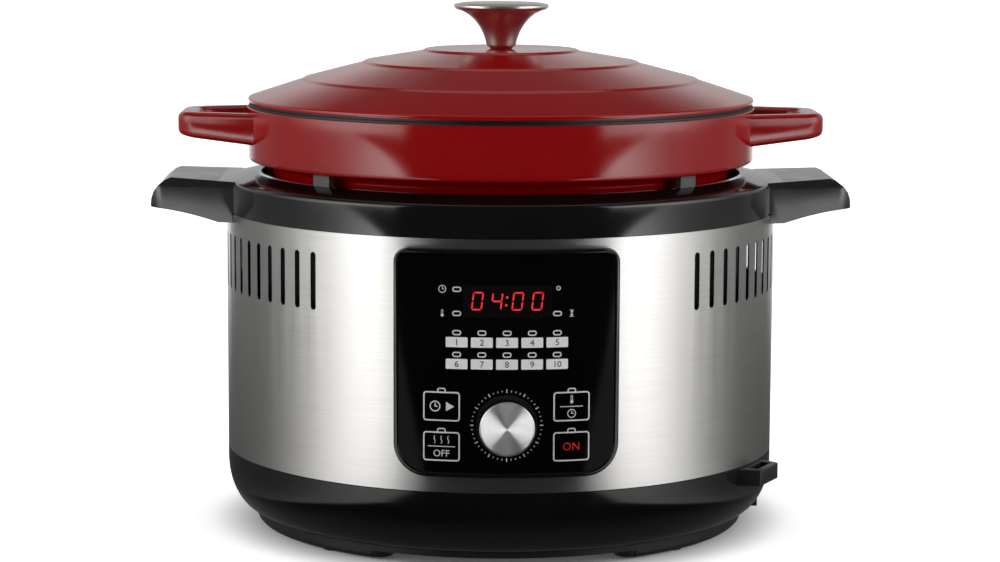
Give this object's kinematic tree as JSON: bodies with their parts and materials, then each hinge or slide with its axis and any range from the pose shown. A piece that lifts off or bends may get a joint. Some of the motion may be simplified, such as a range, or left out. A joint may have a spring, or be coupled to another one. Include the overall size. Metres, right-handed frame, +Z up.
{
  "type": "multicooker",
  "caption": "Round countertop multicooker with a lift-out enamelled cast pot, a lift-off domed lid, a brushed steel band and a curved control panel with keys and a dial.",
  "frame": {"origin": "on the table plane, under the axis of the round body", "axes": "+Z up, +X to the right along the handles, -Y towards the user and the control panel"},
  "size_m": [0.3666, 0.3035, 0.2742],
  "materials": {
    "red_enamel": "glossy vitreous enamel",
    "black_gloss": "moulded, glossy",
    "black_satin": "moulded, satin",
    "panel_black": "clear-coated, glossy",
    "band_steel": "brushed round the body",
    "knob_steel": "satin",
    "dial_metal": "spun",
    "plate_metal": "cast, machined top",
    "sheet_metal": "rolled",
    "screw_steel": "zinc plated",
    "element_steel": "heat-stained",
    "pad_rubber": "matte",
    "display_red": "tinted, glossy",
    "lamp_clear": "clear, frosted end",
    "board_green": "solder mask",
    "component_dark": "moulded",
    "pin_brass": "nickel-brass",
    "ceramic_white": "unglazed",
    "wire_grey": "extruded",
    "lead_braid": "glass-fibre braid"
  },
  "bodies": {
    "base": {"bottom_cover": "black_satin", "rubber_pads": "pad_rubber", "bottom_screws": "screw_steel", "lower_shell": "black_gloss", "side_loop": "black_satin", "steel_band": "band_steel", "top_ring": "black_gloss", "handle_cover_left": "black_satin", "handle_cover_right": "black_satin", "handle_screws": "screw_steel", "pot_rest_pads": "pad_rubber", "inner_liner": "sheet_metal", "heat_shield": "sheet_metal", "ring_screws": "screw_steel", "support_legs": "sheet_metal", "heating_plate": "plate_metal", "heating_element": "element_steel", "plate_posts": "sheet_metal", "sensor_guide": "sheet_metal", "sensor_spring": "screw_steel", "thermal_cutout": "ceramic_white", "power_board": "board_green", "power_components": "component_dark", "board_screws": "screw_steel", "power_inlet": "black_satin", "inlet_pins": "pin_brass", "inlet_screws": "screw_steel", "panel_bezel": "black_gloss", "panel_face": "panel_black", "display_window": "display_red", "light_guides": "lamp_clear", "control_board": "board_green", "control_screws": "screw_steel", "display_module": "component_dark", "key_switches": "component_dark", "encoder_body": "sheet_metal", "ribbon_cable": "wire_grey", "heater_leads": "lead_braid"},
    "dial": {"dial_skirt": "black_satin", "dial_cap": "dial_metal", "dial_shaft": "screw_steel"},
    "key_upper_left": {"key_upper_left": "panel_black"},
    "key_lower_left": {"key_lower_left": "panel_black"},
    "key_upper_right": {"key_upper_right": "panel_black"},
    "key_lower_right": {"key_lower_right": "panel_black"},
    "pot": {"pot": "red_enamel"},
    "lid": {"lid": "red_enamel", "lid_knob": "knob_steel", "knob_screw": "screw_steel", "knob_washer": "screw_steel"},
    "sensor": {"sensor_cap": "plate_metal", "sensor_clip": "screw_steel"}
  },
  "joints": [
    {"name": "dial_turn", "type": "hinge", "parent": "base", "child": "dial", "pos_m": [0, -0.15, 0.0754], "axis": [0, -1, 0], "continuous": true},
    {"name": "key_upper_left_press", "type": "slide", "parent": "base", "child": "key_upper_left", "axis": [0.2149, 0.9766, 0], "range_m": [0, 0.0008], "stiffness_N_per_m": 600, "springref_m": -0.001},
    {"name": "key_lower_left_press", "type": "slide", "parent": "base", "child": "key_lower_left", "axis": [0.2149, 0.9766, 0], "range_m": [0, 0.0008], "stiffness_N_per_m": 600, "springref_m": -0.001},
    {"name": "key_upper_right_press", "type": "slide", "parent": "base", "child": "key_upper_right", "axis": [-0.2149, 0.9766, 0], "range_m": [0, 0.0008], "stiffness_N_per_m": 600, "springref_m": -0.001},
    {"name": "key_lower_right_press", "type": "slide", "parent": "base", "child": "key_lower_right", "axis": [-0.2149, 0.9766, 0], "range_m": [0, 0.0008], "stiffness_N_per_m": 600, "springref_m": -0.001},
    {"name": "pot_lift", "type": "slide", "parent": "base", "child": "pot", "axis": [0, 0, 1], "range_m": [0, 0.15]},
    {"name": "lid_lift", "type": "slide", "parent": "pot", "child": "lid", "axis": [0, 0, 1], "range_m": [0, 0.1]},
    {"name": "sensor_press", "type": "slide", "parent": "base", "child": "sensor", "axis": [0, 0, 1], "range_m": [-0.0025, 0], "stiffness_N_per_m": 500, "springref_m": 0.004, "deforming": ["sensor_spring"]}
  ]
}
